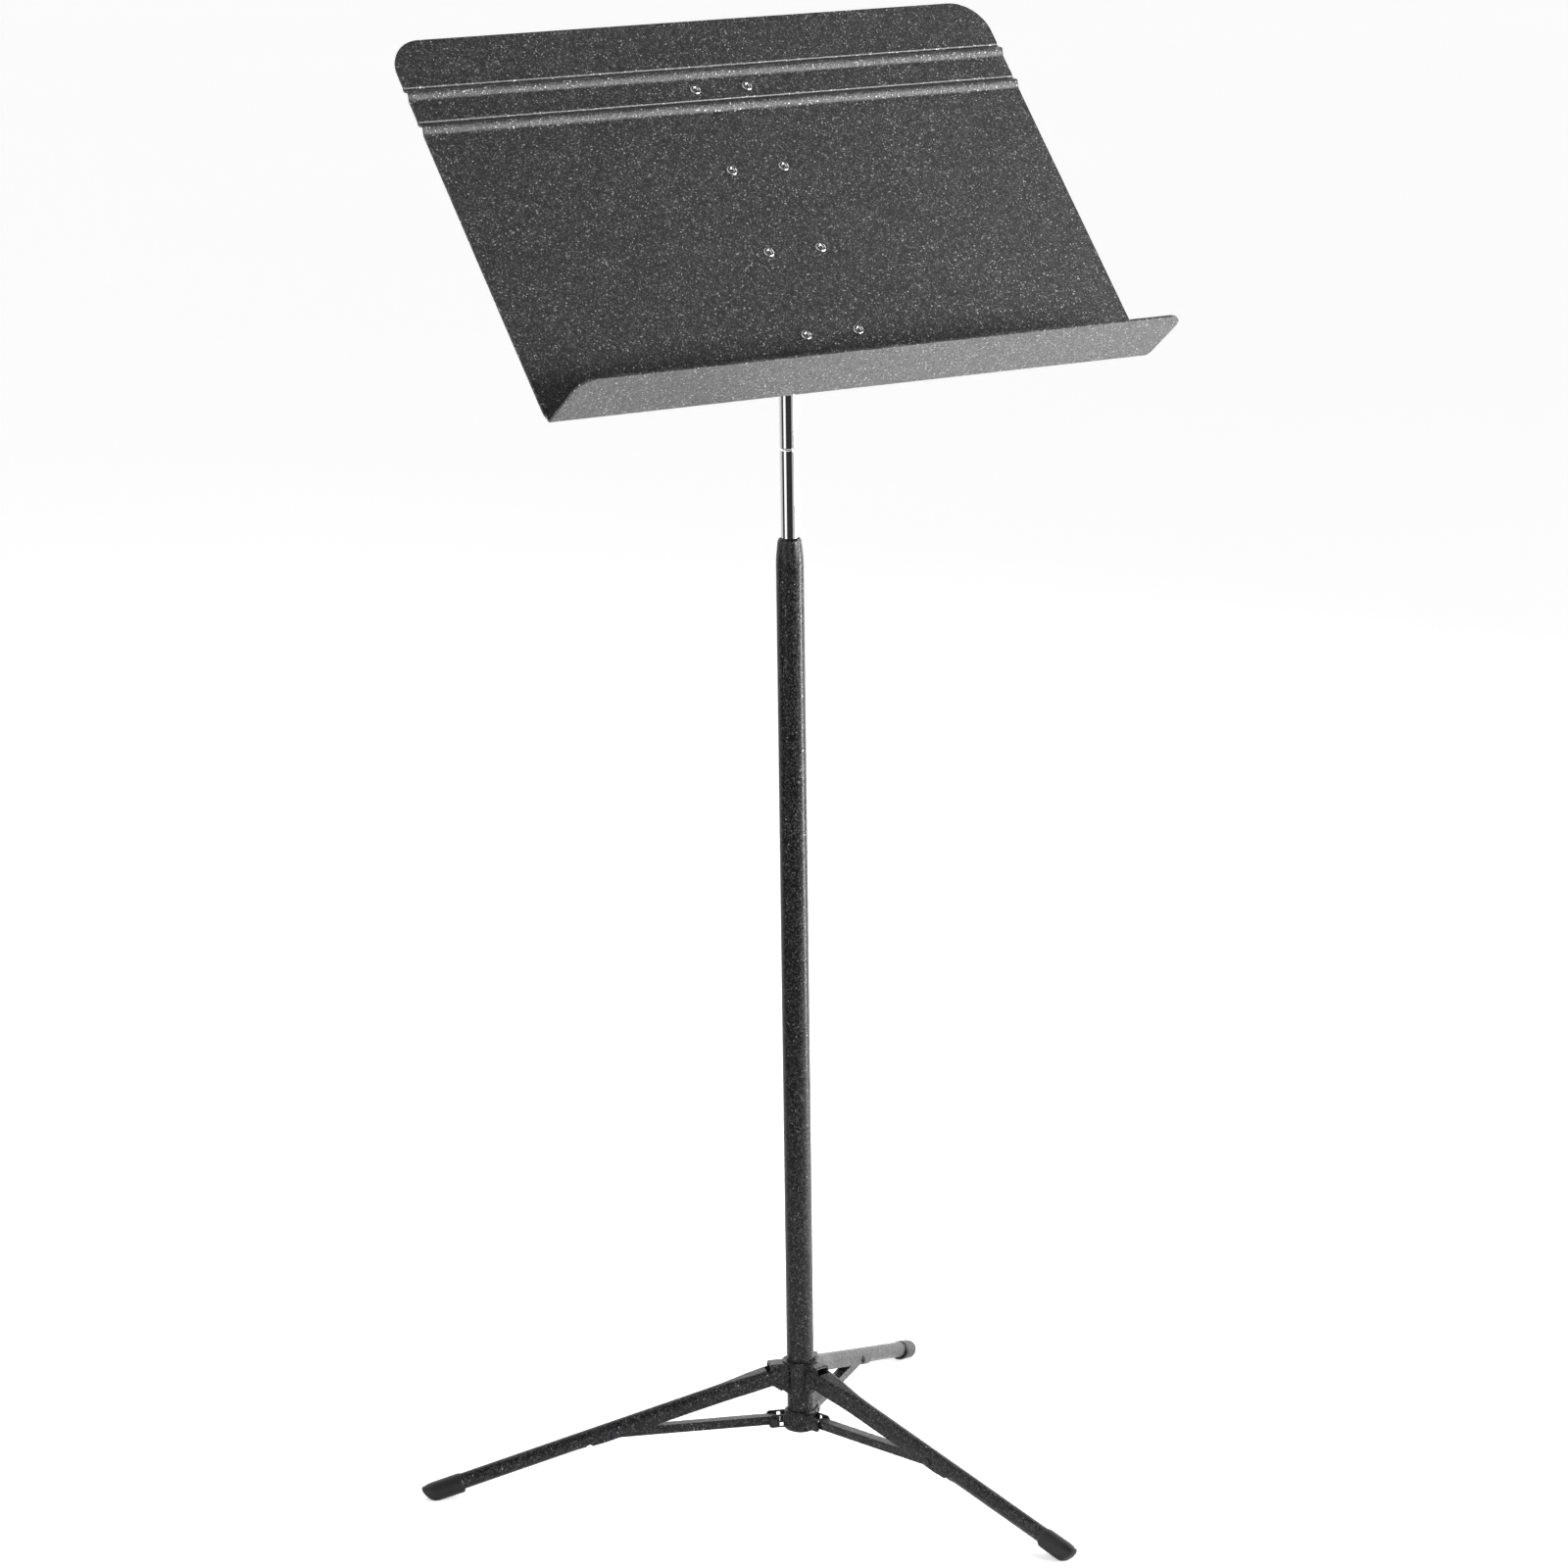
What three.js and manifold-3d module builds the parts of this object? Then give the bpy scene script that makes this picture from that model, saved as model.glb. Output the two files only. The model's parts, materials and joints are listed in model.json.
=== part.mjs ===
// Orchestral music stand: a wide tilting desk on a telescoping pole, with a folding tripod base.
//
// Frame: millimetres, +Z up, origin on the floor under the pole's axis. The desk faces -Y.
// At rest the tripod is fully spread and the desk leans back.

import * as THREE from "three";
import { mergeVertices } from "three/addons/utils/BufferGeometryUtils.js";
import Module from "manifold-3d";

const wasm = await Module();
wasm.setup();

// ---------------------------------------------------------------- driving dimensions

const GAP = 0.3; // clearance kept between neighbouring pieces
const FINE = 28; // sides of a large round
const COARSE = 10; // sides of a small round

const desk = {
  width: 508, height: 317, sheet: 1.6, lean: 40.4, bendY: -87, bendZ: 818,
  topRadius: 27, ledgeDepth: 57, ledgeDrop: 3.2, ledgeRadius: 14, bendRadius: 3,
};
const rib = { centres: [272, 243], groove: 0.7, rise: 2.8, above: 6.2, below: 6.0 };
const rivet = { x: 22.1, firstV: 46, pitch: 70.6, rows: 4, shank: 1.9, head: 4.1, headHeight: 1.5 };
const spine = {
  bottomV: 22, topV: 284, flange: 30, inner: 13.6, wall: 1.4, depth: 20, earRadius: 11, earSpread: 24,
};
const spineFace = desk.sheet + rib.groove + GAP; // the spine's flanges clear the backs of the ribs
const tilt = { z: 871, block: 10.4, blockHalf: 11.5, bolt: 3, washer: 9, socket: 8.6, socketDrop: 33 };
const pole = {
  outer: 10, wall: 1.2, bottomZ: 33, topZ: 699, mouth: 8.4, mouthTaper: 16,
  inner: 6, innerWall: 1.1, innerBottomZ: 250, jointZ: 763.5, neckTopZ: 857.5,
};
const upperHub = {
  bottomZ: 60, topZ: 84.4, wall: 1.7, lip: 13.4,
  armHalf: 6, armEnd: 24, armTopZ: 83.4, armFoot: [20.5, 67.2],
};
const lowerHub = {
  bottomZ: 31, topZ: 46.2, wall: 2,
  earGap: 4.9, earWall: 1.4, earEnd: 25.3, earTopZ: 44.4, earBottomZ: 34.6,
};
const leg = {
  azimuths: [158.4, 278.4, 38.4], slope: 15, pivotR: 22, pivotZ: 72, radius: 5.9, wall: 1.3,
  rootHalf: 7.8, taperStart: 8, taperEnd: 42, webStart: 2.6, channelEnd: 148, tubeEnd: 252, axisLift: 1.9,
};
const strut = { pivotZ: 39.7, innerR: 21.5, outerR: 141, half: 4.2, tall: 6.5, wall: 1.2 };
const pin = { radius: 1.5, hole: 1.85, head: 3.1, headHeight: 1.3 };
// the cap hangs a little below the leg's axis, so its sole is thick
const cap = { start: 240, end: 272.3, radius: 7.6, bevel: 4.5, sag: 0.6 };

// ---------------------------------------------------------------- finishes

function finish(name, color, roughness, metalness) {
  return new THREE.MeshStandardMaterial({ name, color, roughness, metalness });
}

const finishes = {
  desk: finish("desk", 0x1d1d1f, 0.55, 0.25),
  frame: finish("frame", 0x1d1d1f, 0.55, 0.25),
  chrome: finish("chrome", 0xd8dadc, 0.12, 1),
  zinc: finish("zinc", 0x9a9c9f, 0.35, 0.9),
  rivets: finish("rivets", 0x202022, 0.4, 0.6),
  nylon: finish("nylon", 0x151515, 0.6, 0),
  vinyl: finish("vinyl", 0x1a1a1b, 0.7, 0),
};

// ---------------------------------------------------------------- geometry helpers

const radians = THREE.MathUtils.degToRad;

function mesh(name, geometry, finish) {
  const part = new THREE.Mesh(geometry, finish);
  part.name = name;
  return part;
}

function solid(geometry) {
  const bare = new THREE.BufferGeometry();
  bare.setAttribute("position", geometry.attributes.position);
  bare.setIndex(geometry.index);
  const merged = mergeVertices(bare, 1e-4);
  return new wasm.Manifold(new wasm.Mesh({
    numProp: 3,
    vertProperties: new Float32Array(merged.attributes.position.array),
    triVerts: new Uint32Array(merged.index.array),
  }));
}

function geometryOf(manifold) {
  const { vertProperties, triVerts } = manifold.getMesh();
  const geometry = new THREE.BufferGeometry();
  geometry.setAttribute("position", new THREE.BufferAttribute(vertProperties, 3));
  geometry.setIndex(new THREE.BufferAttribute(triVerts, 1));
  return geometry;
}

function outline(points) {
  return new THREE.Shape(points.map(([x, y]) => new THREE.Vector2(x, y)));
}

// A profile of [radius, z] points, anticlockwise with the axis on the left, turned about Z.
function revolve(profile, sides = FINE) {
  const points = profile.map(([r, z]) => new THREE.Vector2(r, z));
  return new THREE.LatheGeometry(points, sides).rotateX(Math.PI / 2);
}

function ring(inner, outer, bottom, top, sides = FINE) {
  return revolve([[inner, bottom], [outer, bottom], [outer, top], [inner, top], [inner, bottom]], sides);
}

function rod(radius, bottom, top, sides = FINE) {
  return revolve([[0, bottom], [radius, bottom], [radius, top], [0, top]], sides);
}

// A flat outline in X and Z, given thickness along Y from low to high.
function plateXZ(shape, low, high) {
  const options = { depth: high - low, bevelEnabled: false, curveSegments: 5 };
  return new THREE.ExtrudeGeometry(shape, options).rotateX(Math.PI / 2).translate(0, high, 0);
}

function block(x0, x1, y0, y1, z0, z1) {
  return new THREE.BoxGeometry(x1 - x0, y1 - y0, z1 - z0)
    .translate((x0 + x1) / 2, (y0 + y1) / 2, (z0 + z1) / 2);
}

// A closed body through several loops of points that each have the same number of points.
function loft(loops) {
  const count = loops[0].length;
  const position = loops.flat().flatMap((point) => [point.x, point.y, point.z]);
  const index = [];
  for (let i = 0; i + 1 < loops.length; i += 1) {
    for (let j = 0; j < count; j += 1) {
      const a = i * count + j;
      const b = i * count + (j + 1) % count;
      index.push(a, b, b + count, a, b + count, a + count);
    }
  }
  const last = (loops.length - 1) * count;
  for (let j = 1; j + 1 < count; j += 1) {
    index.push(0, j + 1, j);
    index.push(last, last + j, last + j + 1);
  }
  const geometry = new THREE.BufferGeometry();
  geometry.setAttribute("position", new THREE.Float32BufferAttribute(position, 3));
  geometry.setIndex(index);
  return geometry;
}

// A pin along Y with a flat round head outside each side of a stack that is 2 * reach wide.
function headedPin(reach) {
  const start = reach + GAP;
  const end = start + pin.headHeight;
  const profile = [
    [0, -end], [pin.head * 0.7, -end], [pin.head, -end + 0.6], [pin.head, -start], [pin.radius, -start],
    [pin.radius, start], [pin.head, start], [pin.head, end - 0.6], [pin.head * 0.7, end], [0, end],
  ];
  return revolve(profile, COARSE).rotateX(Math.PI / 2);
}

function pinHole(x, z, reach, radius = pin.hole) {
  return solid(rod(radius, -reach, reach, COARSE).rotateX(Math.PI / 2).translate(x, 0, z));
}

// ---------------------------------------------------------------- pole

function outerTube() {
  const inside = pole.outer - pole.wall;
  const mouthInside = pole.mouth - pole.wall;
  const neck = pole.topZ - pole.mouthTaper;
  return revolve([
    [inside, pole.bottomZ], [pole.outer, pole.bottomZ], [pole.outer, neck],
    [pole.outer - 0.5, neck + 7], [pole.mouth + 0.3, pole.topZ - 3], [pole.mouth - 0.4, pole.topZ],
    [mouthInside + 0.4, pole.topZ], [mouthInside + 0.1, pole.topZ - 3], [inside - 0.6, neck + 7],
    [inside, neck], [inside, pole.bottomZ],
  ]);
}

function mouthBush() {
  const top = pole.topZ - pole.mouthTaper - 1;
  const collar = solid(ring(pole.inner + 0.25, pole.outer - pole.wall - GAP, top - 32, top));
  const slot = solid(block(-9, 9, -0.8, 0.8, top - 20, top + 1));
  return geometryOf(collar.subtract(slot));
}

function innerTube() {
  const bottom = pole.innerBottomZ;
  const top = pole.jointZ - 0.15;
  return ring(pole.inner - pole.innerWall, pole.inner, bottom, top);
}

function innerTubePlug() {
  const bottom = pole.innerBottomZ;
  const bore = pole.inner - pole.innerWall - GAP;
  return revolve([
    [0, bottom - 4], [8, bottom - 4], [8.3, bottom - 3], [8.3, bottom - GAP], [bore, bottom - GAP],
    [bore, bottom + 14], [0, bottom + 14],
  ]);
}

function guideBush() {
  const bottom = pole.innerBottomZ;
  return ring(pole.inner + 0.15, pole.outer - pole.wall - 0.2, bottom + 0.2, bottom + 26);
}

function bushRetainer() {
  const bottom = pole.innerBottomZ + 26.4;
  return ring(pole.inner + GAP, 8, bottom, bottom + 2);
}

function neckTube() {
  return ring(pole.inner - pole.innerWall, pole.inner, pole.jointZ + 0.15, pole.neckTopZ);
}

function neckSpigot() {
  const radius = pole.inner - pole.innerWall - GAP;
  return revolve([
    [0, pole.jointZ - 36], [radius - 1, pole.jointZ - 36], [radius, pole.jointZ - 34],
    [radius, pole.jointZ + 30], [0, pole.jointZ + 30],
  ], 24);
}

function tubeEndPlug() {
  const bore = pole.outer - pole.wall - GAP;
  const rim = pole.outer - 0.4;
  const base = lowerHub.bottomZ;
  return revolve([
    [0, base - 1.5], [pole.outer - 2.5, base - 1.5], [rim, base], [rim, pole.bottomZ - GAP],
    [bore, pole.bottomZ - GAP], [bore, pole.bottomZ + 12], [0, pole.bottomZ + 12],
  ]);
}

// ---------------------------------------------------------------- hubs

// A collar with one arm towards each leg, bored through to slide over the pole.
function hub(collarProfile, buildArm, bore) {
  const turns = leg.azimuths.map((azimuth) => new THREE.Matrix4().makeRotationZ(radians(azimuth)));
  const joined = turns.reduce((sum, turn) => sum.add(buildArm(turn)), solid(revolve(collarProfile)));
  return geometryOf(joined.subtract(solid(rod(bore, 0, 100))));
}

function upperHubArm(turn) {
  const { armHalf, armEnd, armTopZ, bottomZ, armFoot } = upperHub;
  const side = outline([
    [pole.outer, bottomZ + 1], [pole.outer + 1.5, bottomZ + 1], armFoot, [armEnd, armFoot[1] + 0.8],
    [armEnd, armTopZ - 1.5], [armEnd - 1.5, armTopZ], [pole.outer, armTopZ],
  ]);
  const outer = solid(plateXZ(side, -armHalf, armHalf).applyMatrix4(turn));
  const inner = armHalf - leg.wall;
  const hollow = block(pole.outer - 5, armEnd + 1, -inner, inner, bottomZ - 1, armTopZ - leg.wall);
  const hole = pinHole(leg.pivotR, leg.pivotZ, armHalf + 2);
  const place = turn.toArray();
  return outer.subtract(solid(hollow.applyMatrix4(turn))).subtract(hole.transform(place));
}

function upperHubGeometry() {
  const bore = pole.outer + GAP;
  const outside = bore + upperHub.wall;
  const { bottomZ, topZ, lip } = upperHub;
  const inside = bore - 1;
  const profile = [
    [inside, bottomZ], [outside - 0.5, bottomZ], [outside, bottomZ + 1], [outside, topZ - 3],
    [lip - 0.4, topZ - 1.2], [lip, topZ - 0.3], [lip - 0.5, topZ],
    [bore + 0.6, topZ - 1], [inside, topZ - 2], [inside, bottomZ],
  ];
  return hub(profile, upperHubArm, bore);
}

// Each ear is open from its pivot down to its lower edge, so that the strut's end can leave it.
function lowerHubEars(turn) {
  const { earGap, earWall, earEnd, earTopZ: top, earBottomZ: foot } = lowerHub;
  const root = pole.outer - 2;
  const shape = outline([
    [root, foot], [16.9, foot], [18.2, strut.pivotZ - 1.5], [19.9, strut.pivotZ + 1.3],
    [21.9, strut.pivotZ + 2], [23.4, strut.pivotZ + 0.4], [22.9, foot], [earEnd - 0.6, foot],
    [earEnd, foot + 1.5], [earEnd, top - 2.5], [earEnd - 3, top], [root, top],
  ]);
  const pair = solid(plateXZ(shape, earGap, earGap + earWall).applyMatrix4(turn));
  return pair.add(solid(plateXZ(shape, -earGap - earWall, -earGap).applyMatrix4(turn)));
}

function lowerHubGeometry() {
  const bore = pole.outer + GAP;
  const outside = bore + lowerHub.wall;
  const { bottomZ, topZ } = lowerHub;
  const inside = bore - 1;
  const profile = [
    [inside, bottomZ], [outside - 1.2, bottomZ], [outside, bottomZ + 1.2], [outside, topZ - 0.6],
    [outside - 0.6, topZ], [inside, topZ], [inside, bottomZ],
  ];
  return hub(profile, lowerHubEars, bore);
}

// ---------------------------------------------------------------- legs and struts

// Arch section across a leg: straight sides and a top with rounded corners.
function arch(x, half, low, high, round) {
  const left = [new THREE.Vector3(x, -half, low)];
  const steps = 5;
  for (let i = 0; i <= steps; i += 1) {
    const angle = (Math.PI / 2) * (i / steps);
    const y = -half + round - round * Math.cos(angle);
    left.push(new THREE.Vector3(x, y, high - round + round * Math.sin(angle)));
  }
  const right = left.map((corner) => new THREE.Vector3(x, -corner.y, corner.z));
  return [...right, ...left.reverse()];
}

function archLoft(start, end, inset, low) {
  const high = leg.axisLift + leg.radius - inset;
  const wide = leg.rootHalf - inset;
  const slim = leg.radius - inset;
  const round = 3 - inset / 2;
  return loft([
    arch(start, wide, low, high, round), arch(leg.taperStart, wide, low, high, round),
    arch(leg.taperEnd, slim, low, high, slim * 0.98), arch(end, slim, low, high, slim * 0.98),
  ]);
}

// The leg lies along +X from its pivot: an open channel near the hub and a closed tube beyond.
function legGeometry(outerPivot) {
  const low = leg.axisLift - leg.radius;
  const overlap = 3;
  const shell = solid(archLoft(-16, leg.channelEnd + overlap, 0, low - 8));
  const hollow = solid(archLoft(-20, leg.channelEnd + overlap + 1, leg.wall, low - 12));
  const clear = leg.rootHalf - leg.wall;
  const opening = solid(block(-20, leg.webStart, -clear, clear, -20, 20));
  const side = outline([
    [leg.channelEnd + overlap, low], [2, low], [-3.6, low - 6.4], [-7.5, -3.5], [-8, 3],
    [-5, 7.4], [-1, 8.6], [leg.channelEnd + overlap, 8.6],
  ]);
  const mask = solid(plateXZ(side, -12, 12));
  const bore = leg.radius - leg.wall;
  const length = leg.tubeEnd - leg.channelEnd + overlap;
  const tube = solid(ring(bore, leg.radius, 0, length, 24).rotateY(Math.PI / 2)
    .translate(leg.channelEnd - overlap, 0, leg.axisLift));
  return geometryOf(shell.subtract(hollow).subtract(opening).intersect(mask).add(tube)
    .subtract(pinHole(0, 0, 12)).subtract(pinHole(outerPivot.x, outerPivot.z, 9)));
}

// The cap grips the leg's end; its underside is cut flat where it stands on the floor.
function footCapGeometry(toFloor) {
  const { start, end, radius, bevel, sag } = cap;
  const bore = leg.radius + GAP;
  const profile = [
    [0, start], [radius - 0.8, start], [radius, start + 1.2], [radius, end - bevel],
    [radius - 2.6, end - 0.8], [radius - 4.5, end], [0, end],
  ];
  const body = revolve(profile, 24).rotateY(Math.PI / 2).translate(0, 0, leg.axisLift - sag);
  const socket = rod(bore, start - 1, leg.tubeEnd + GAP, 24)
    .rotateY(Math.PI / 2).translate(0, 0, leg.axisLift);
  const floor = block(-400, 400, -50, 50, -100, 0).applyMatrix4(toFloor);
  return geometryOf(solid(body).subtract(solid(socket)).subtract(solid(floor)));
}

// The strut lies along +X from its inner pivot, a channel with rounded ends, open underneath.
function strutGeometry(length) {
  const round = strut.tall / 2;
  const side = new THREE.Shape();
  side.absarc(length, 0, round, -Math.PI / 2, Math.PI / 2, false);
  side.absarc(0, 0, round, Math.PI / 2, 3 * Math.PI / 2, false);
  const bar = solid(plateXZ(side, -strut.half, strut.half));
  const inner = strut.half - strut.wall;
  const hollow = solid(block(-10, length + 10, -inner, inner, -10, round - strut.wall));
  return geometryOf(bar.subtract(hollow).subtract(pinHole(0, 0, 9)).subtract(pinHole(length, 0, 9)));
}

function tripodLeg(number, azimuth) {
  const slope = radians(leg.slope);
  const dx = strut.outerR - leg.pivotR;
  const dz = strut.pivotZ - leg.pivotZ;
  const outerPivot = {
    x: dx * Math.cos(slope) - dz * Math.sin(slope),
    z: dx * Math.sin(slope) + dz * Math.cos(slope),
  };
  const limb = new THREE.Group();
  limb.position.set(leg.pivotR, 0, leg.pivotZ);
  limb.rotation.y = slope;
  limb.updateMatrix();
  const toFloor = limb.matrix.clone().invert();
  const outerPin = mesh(`strut_outer_pin_${number}`, headedPin(leg.radius), finishes.zinc);
  outerPin.position.set(outerPivot.x, 0, outerPivot.z);
  limb.add(
    mesh(`leg_${number}`, legGeometry(outerPivot), finishes.frame),
    mesh(`foot_cap_${number}`, footCapGeometry(toFloor), finishes.vinyl),
    mesh(`leg_pin_${number}`, headedPin(leg.rootHalf), finishes.zinc),
    outerPin,
  );
  const brace = new THREE.Group();
  brace.position.set(strut.innerR, 0, strut.pivotZ);
  brace.add(
    mesh(`strut_${number}`, strutGeometry(strut.outerR - strut.innerR), finishes.frame),
    mesh(`strut_inner_pin_${number}`, headedPin(lowerHub.earGap + lowerHub.earWall), finishes.zinc),
  );
  const side = new THREE.Group();
  side.rotation.z = radians(azimuth);
  side.add(limb, brace);
  return side;
}

// ---------------------------------------------------------------- desk

// Front face of the desk sheet in side view, as [distance in front, height], from the bend up.
function deskFront() {
  const { rise, groove, below, above } = rib;
  const points = [];
  for (const centre of [...rib.centres].reverse()) {
    points.push([0, centre - below], [rise - 0.4, centre - 0.6], [rise, centre + 0.3]);
    points.push([rise - 0.5, centre + 1.1], [-groove, centre + above - 1.2], [0, centre + above]);
  }
  return [...points, [0, desk.height]];
}

// Side view of the whole bent sheet: X is distance behind the desk's face, Y is height.
function deskSection() {
  const { sheet, ledgeDepth, ledgeDrop, bendRadius } = desk;
  const drop = radians(ledgeDrop);
  const along = [-Math.cos(drop), -Math.sin(drop)];
  const up = [Math.sin(drop), -Math.cos(drop)];
  const ledge = (s, t) => [s * along[0] + t * up[0], s * along[1] + t * up[1]];
  const front = deskFront().map(([ahead, v]) => [-ahead, v]);
  const back = front.map(([y, v]) => [y + sheet, v]).reverse();
  const inside = [ledge(bendRadius, 0), [-bendRadius * 0.3, bendRadius * 0.28], [0, bendRadius]];
  const outside = [[sheet, bendRadius * 0.6], [sheet * 0.5, -sheet * 0.7], ledge(bendRadius * 0.4, sheet)];
  const edge = [ledge(ledgeDepth, sheet), ledge(ledgeDepth, 0)];
  return outline([...inside, ...front, ...back, ...outside, ...edge]);
}

function roundedCorner(radius) {
  const corner = new THREE.Shape();
  corner.moveTo(radius + 5, radius + 5);
  corner.lineTo(0, radius + 5);
  corner.lineTo(0, radius);
  corner.absarc(0, 0, radius, Math.PI / 2, 0, true);
  corner.lineTo(radius + 5, 0);
  corner.closePath();
  return corner;
}

function deskPanelGeometry() {
  const { width, height, topRadius, ledgeDepth, ledgeRadius } = desk;
  const half = width / 2;
  const sheet = new THREE.ExtrudeGeometry(deskSection(), { depth: width, bevelEnabled: false });
  // the section's X becomes Y, its Y becomes Z, and its thickness runs along X
  const turn = new THREE.Matrix4().set(0, 0, 1, -half, 1, 0, 0, 0, 0, 1, 0, 0, 0, 0, 0, 1);
  let panel = solid(sheet.applyMatrix4(turn));
  for (const side of [1, -1]) {
    const mirror = new THREE.Matrix4().makeRotationZ(side > 0 ? 0 : Math.PI);
    const top = plateXZ(roundedCorner(topRadius), -40, 40)
      .translate(half - topRadius, 0, height - topRadius).applyMatrix4(mirror);
    panel = panel.subtract(solid(top));
    const corner = { depth: 40, bevelEnabled: false, curveSegments: 5 };
    const front = new THREE.ExtrudeGeometry(roundedCorner(ledgeRadius), corner);
    if (side > 0) {
      front.rotateX(Math.PI).translate(half - ledgeRadius, -ledgeDepth + ledgeRadius, 15);
    } else {
      front.rotateZ(Math.PI).translate(-half + ledgeRadius, -ledgeDepth + ledgeRadius, -25);
    }
    panel = panel.subtract(solid(front));
  }
  return geometryOf(rivetSpots().reduce((body, spot) => body.subtract(rivetHole(spot)), panel));
}

function rivetSpots() {
  const spots = [];
  for (let row = 0; row < rivet.rows; row += 1) {
    for (const x of [-rivet.x, rivet.x]) {
      spots.push({ x, v: rivet.firstV + row * rivet.pitch });
    }
  }
  return spots;
}

function rivetHole(spot) {
  return pinHole(spot.x, spot.v, 12, rivet.shank + GAP);
}

// A hat channel behind the sheet, whose walls carry two ears for the tilt bolt.
function spineGeometry(pivot) {
  const { bottomV, topV, flange, inner, wall, depth, earRadius, earSpread } = spine;
  const face = spineFace;
  const outer = inner + wall;
  const section = outline([
    [-flange, face], [-inner, face], [-inner, depth - wall], [inner, depth - wall], [inner, face],
    [flange, face], [flange, face + wall], [outer, face + wall], [outer, depth], [-outer, depth],
    [-outer, face + wall], [-flange, face + wall],
  ]);
  const channel = new THREE.ExtrudeGeometry(section, { depth: topV - bottomV, bevelEnabled: false });
  let body = solid(channel.translate(0, 0, bottomV));
  const ear = new THREE.Shape();
  ear.moveTo(depth - 3, pivot.v + earSpread);
  ear.lineTo(depth - 3, pivot.v - earSpread);
  ear.absarc(pivot.y, pivot.v, earRadius, -Math.PI / 2 + 0.3, Math.PI / 2 - 0.3, false);
  ear.closePath();
  const thick = new THREE.ExtrudeGeometry(ear, { depth: wall, bevelEnabled: false, curveSegments: 6 });
  const turn = new THREE.Matrix4().set(0, 0, 1, 0, 1, 0, 0, 0, 0, 1, 0, 0, 0, 0, 0, 1);
  thick.applyMatrix4(turn);
  for (const x of [inner, -outer]) {
    body = body.add(solid(thick.clone().translate(x, 0, 0)));
  }
  const hole = rod(tilt.bolt + GAP, -outer - 5, outer + 5, 20)
    .rotateY(Math.PI / 2).translate(0, pivot.y, pivot.v);
  body = body.subtract(solid(hole));
  return geometryOf(rivetSpots().reduce((rest, spot) => rest.subtract(rivetHole(spot)), body));
}

// Revolved about Z, then laid along Y: the head is in front of the sheet, the tail behind the spine.
function rivetGeometry() {
  const { shank, head, headHeight } = rivet;
  const front = GAP;
  const back = spineFace + spine.wall + GAP;
  const dish = front + headHeight * 0.5;
  const profile = [
    [0, -back - 1.1], [2.9, -back - 1.1], [3.2, -back], [shank, -back], [shank, front],
    [head, front], [head - 0.5, front + headHeight * 0.75], [head * 0.55, front + headHeight],
    [head * 0.4, dish], [0, dish],
  ];
  return revolve(profile, COARSE).rotateX(Math.PI / 2);
}

function tiltBolt(reach) {
  const start = reach + GAP;
  return revolve([
    [0, -reach - 9], [tilt.bolt, -reach - 9], [tilt.bolt, start], [6.4, start], [6.4, start + 3.4],
    [5.2, start + 4.4], [0, start + 4.4],
  ], 20).rotateY(-Math.PI / 2);
}

function tiltNut(reach) {
  const start = reach + GAP;
  const bore = (tilt.bolt + GAP) / Math.cos(Math.PI / 6);
  return revolve([
    [bore, start], [6.8, start], [6.8, start + 4.6], [5.6, start + 5.8], [bore, start + 5.8], [bore, start],
  ], 6).rotateY(Math.PI / 2);
}

function deskGroup() {
  const lean = radians(desk.lean);
  const dy = -desk.bendY;
  const dz = tilt.z - desk.bendZ;
  const pivot = {
    y: dy * Math.cos(lean) - dz * Math.sin(lean),
    v: dy * Math.sin(lean) + dz * Math.cos(lean),
  };
  const group = new THREE.Group();
  group.position.set(0, desk.bendY, desk.bendZ);
  group.rotation.x = -lean;
  group.add(mesh("desk_panel", deskPanelGeometry(), finishes.desk));
  group.add(mesh("desk_spine", spineGeometry(pivot), finishes.desk));
  rivetSpots().forEach((spot, i) => {
    const part = mesh(`desk_rivet_${i + 1}`, rivetGeometry(), finishes.rivets);
    part.position.set(spot.x, 0, spot.v);
    group.add(part);
  });
  const reach = spine.inner + spine.wall;
  const inside = tilt.blockHalf + GAP;
  const washer = ring(tilt.bolt + GAP, tilt.washer, inside, spine.inner - GAP, 24).rotateY(Math.PI / 2);
  const hardware = [
    mesh("tilt_bolt", tiltBolt(reach), finishes.zinc),
    mesh("tilt_nut", tiltNut(reach), finishes.zinc),
    mesh("friction_washer_right", washer, finishes.nylon),
    mesh("friction_washer_left", washer.clone().rotateZ(Math.PI), finishes.nylon),
  ];
  for (const part of hardware) {
    part.position.set(0, pivot.y, pivot.v);
    group.add(part);
  }
  return group;
}

// The knuckle between the spine's ears, with a socket for the neck tube.
function tiltBlockGeometry() {
  const { z, block: radius, blockHalf, bolt, socket, socketDrop } = tilt;
  const knuckle = solid(rod(radius, -blockHalf, blockHalf, 24).rotateY(Math.PI / 2).translate(0, 0, z));
  const stem = solid(rod(socket, z - socketDrop, z - 4, 24));
  const neckHole = solid(rod(pole.inner + GAP, z - socketDrop - 1, pole.neckTopZ + GAP, 24));
  const boltHole = solid(rod(bolt + GAP, -20, 20, 20).rotateY(Math.PI / 2).translate(0, 0, z));
  return geometryOf(knuckle.add(stem).subtract(neckHole).subtract(boltHole));
}

// ---------------------------------------------------------------- assembly

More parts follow.
